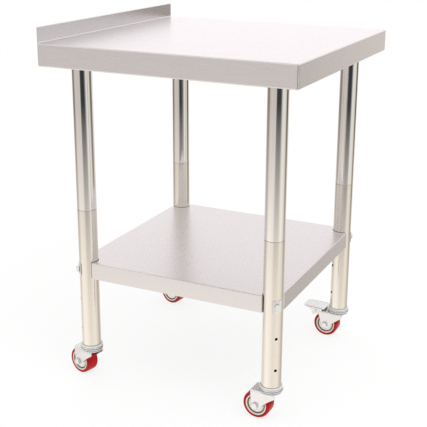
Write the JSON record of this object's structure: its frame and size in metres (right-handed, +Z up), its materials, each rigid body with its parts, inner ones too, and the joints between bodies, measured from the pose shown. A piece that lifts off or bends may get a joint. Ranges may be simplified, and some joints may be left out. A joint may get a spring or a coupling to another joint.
{
  "type": "work table",
  "caption": "Square stainless work table with folded aprons, a low backsplash, round legs, a bolted undershelf and small swivel casters, some with a foot brake.",
  "frame": {"origin": "on the floor, midway between the four leg axes", "axes": "+Z up; +Y from the front towards the backsplash; +X to the right of someone standing at the front"},
  "size_m": [0.6, 0.6274, 0.84],
  "materials": {
    "brushed_sheet": "brushed stainless sheet, satin",
    "polished_tube": "mirror-polished stainless tube",
    "satin_tube": "satin stainless tube",
    "galvanised": "bright galvanised pressed steel",
    "zinc": "zinc-plated steel",
    "plug_plastic": "grey moulded plastic",
    "hub_plastic": "off-white moulded plastic",
    "red_tyre": "glossy red polyurethane"
  },
  "bodies": {
    "table": {"worktop": "brushed_sheet", "top_channel_left": "galvanised", "top_channel_right": "galvanised", "shelf": "brushed_sheet", "shelf_channel": "galvanised", "leg_socket_front_left": "galvanised", "socket_screw_front_left": "zinc", "upper_leg_front_left": "polished_tube", "leg_joiner_front_left": "galvanised", "lower_leg_front_left": "satin_tube", "saddle_washer_front_left": "zinc", "shelf_bolt_front_left": "zinc", "leg_plug_front_left": "plug_plastic", "caster_stem_front_left": "zinc", "leg_socket_front_right": "galvanised", "socket_screw_front_right": "zinc", "upper_leg_front_right": "polished_tube", "leg_joiner_front_right": "galvanised", "lower_leg_front_right": "satin_tube", "saddle_washer_front_right": "zinc", "shelf_bolt_front_right": "zinc", "leg_plug_front_right": "plug_plastic", "caster_stem_front_right": "zinc", "leg_socket_back_left": "galvanised", "socket_screw_back_left": "zinc", "upper_leg_back_left": "polished_tube", "leg_joiner_back_left": "galvanised", "lower_leg_back_left": "satin_tube", "saddle_washer_back_left": "zinc", "shelf_bolt_back_left": "zinc", "leg_plug_back_left": "plug_plastic", "caster_stem_back_left": "zinc", "leg_socket_back_right": "galvanised", "socket_screw_back_right": "zinc", "upper_leg_back_right": "polished_tube", "leg_joiner_back_right": "galvanised", "lower_leg_back_right": "satin_tube", "saddle_washer_back_right": "zinc", "shelf_bolt_back_right": "zinc", "leg_plug_back_right": "plug_plastic", "caster_stem_back_right": "zinc"},
    "caster_front_left": {"caster_fork_front_left": "zinc", "axle_front_left": "zinc"},
    "wheel_front_left": {"wheel_hub_front_left": "hub_plastic", "tyre_front_left": "red_tyre"},
    "caster_front_right": {"caster_fork_front_right": "zinc", "axle_front_right": "zinc"},
    "wheel_front_right": {"wheel_hub_front_right": "hub_plastic", "tyre_front_right": "red_tyre"},
    "pedal_front_right": {"brake_pedal_front_right": "zinc"},
    "caster_back_left": {"caster_fork_back_left": "zinc", "axle_back_left": "zinc"},
    "wheel_back_left": {"wheel_hub_back_left": "hub_plastic", "tyre_back_left": "red_tyre"},
    "caster_back_right": {"caster_fork_back_right": "zinc", "axle_back_right": "zinc"},
    "wheel_back_right": {"wheel_hub_back_right": "hub_plastic", "tyre_back_right": "red_tyre"},
    "pedal_back_right": {"brake_pedal_back_right": "zinc"}
  },
  "joints": [
    {"name": "swivel_front_left", "type": "hinge", "parent": "table", "child": "caster_front_left", "pos_m": [-0.233, -0.233, 0.07], "axis": [0, 0, 1], "continuous": true},
    {"name": "wheel_spin_front_left", "type": "hinge", "parent": "caster_front_left", "child": "wheel_front_left", "pos_m": [-0.23148, -0.20404, 0.03234], "axis": [-0.9986, 0.0523, 0], "continuous": true},
    {"name": "swivel_front_right", "type": "hinge", "parent": "table", "child": "caster_front_right", "pos_m": [0.233, -0.233, 0.07], "axis": [0, 0, 1], "continuous": true},
    {"name": "wheel_spin_front_right", "type": "hinge", "parent": "caster_front_right", "child": "wheel_front_right", "pos_m": [0.23401, -0.20402, 0.03234], "axis": [-0.9994, 0.0349, 0], "continuous": true},
    {"name": "brake_front_right", "type": "hinge", "parent": "caster_front_right", "child": "pedal_front_right", "pos_m": [0.23489, -0.17903, 0.06869], "axis": [-0.9994, 0.0349, 0], "range_deg": [0, 15]},
    {"name": "swivel_back_left", "type": "hinge", "parent": "table", "child": "caster_back_left", "pos_m": [-0.233, 0.233, 0.07], "axis": [0, 0, 1], "continuous": true},
    {"name": "wheel_spin_back_left", "type": "hinge", "parent": "caster_back_left", "child": "wheel_back_left", "pos_m": [-0.22549, 0.26101, 0.03234], "axis": [-0.9659, 0.2588, 0], "continuous": true},
    {"name": "swivel_back_right", "type": "hinge", "parent": "table", "child": "caster_back_right", "pos_m": [0.233, 0.233, 0.07], "axis": [0, 0, 1], "continuous": true},
    {"name": "wheel_spin_back_right", "type": "hinge", "parent": "caster_back_right", "child": "wheel_back_right", "pos_m": [0.23804, 0.26156, 0.03234], "axis": [-0.9848, 0.1736, 0], "continuous": true},
    {"name": "brake_back_right", "type": "hinge", "parent": "caster_back_right", "child": "pedal_back_right", "pos_m": [0.24238, 0.28618, 0.06869], "axis": [-0.9848, 0.1736, 0], "range_deg": [0, 15]}
  ]
}
